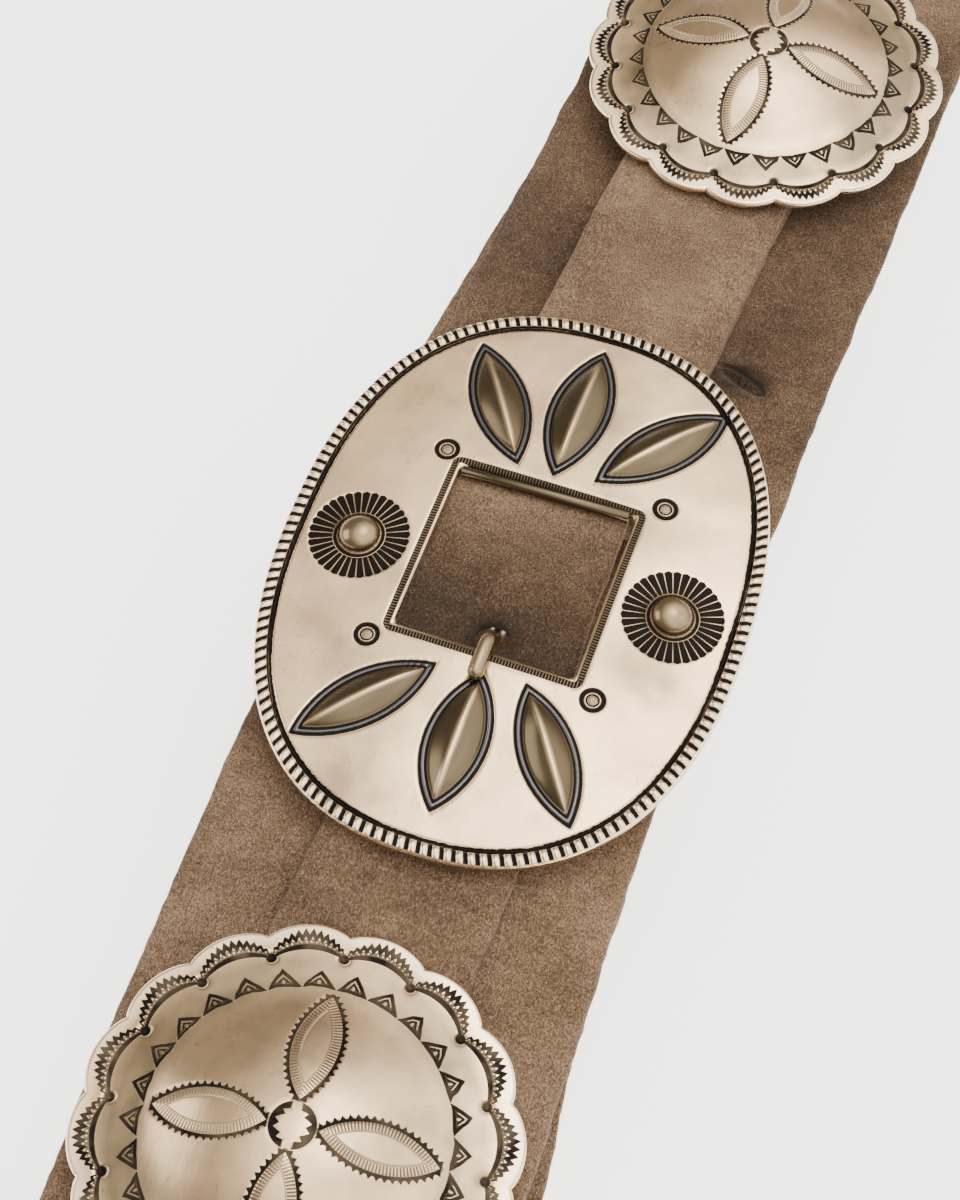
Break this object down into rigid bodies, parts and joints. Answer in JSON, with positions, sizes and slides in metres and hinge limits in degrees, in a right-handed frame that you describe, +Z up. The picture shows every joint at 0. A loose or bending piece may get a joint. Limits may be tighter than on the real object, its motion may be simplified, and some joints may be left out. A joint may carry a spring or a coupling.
{
  "type": "concho belt",
  "caption": "Closed concho belt lying flat: suede backing and carrier straps, scalloped domed silver conchos and an oval buckle with a wire tongue.",
  "frame": {"origin": "on the surface that the belt lies on, under the middle of its outline", "axes": "+Y along the belt from the lower-run side of the buckle to its high side, +X across the belt, +Z up out of the buckle's face"},
  "size_m": [0.1014, 0.4932, 0.056],
  "materials": {
    "silver": "hand-stamped silver, polished high spots and dark tarnish in the stamps",
    "suede": "taupe brown suede with a short nap and raw cut edges"
  },
  "bodies": {
    "root": {"backing_strap": "suede", "carrier_strap": "suede", "buckle": "silver", "tongue": "silver", "concho_1": "silver", "concho_2": "silver", "concho_3": "silver", "concho_4": "silver", "concho_5": "silver", "concho_6": "silver", "concho_7": "silver"}
  },
  "joints": []
}
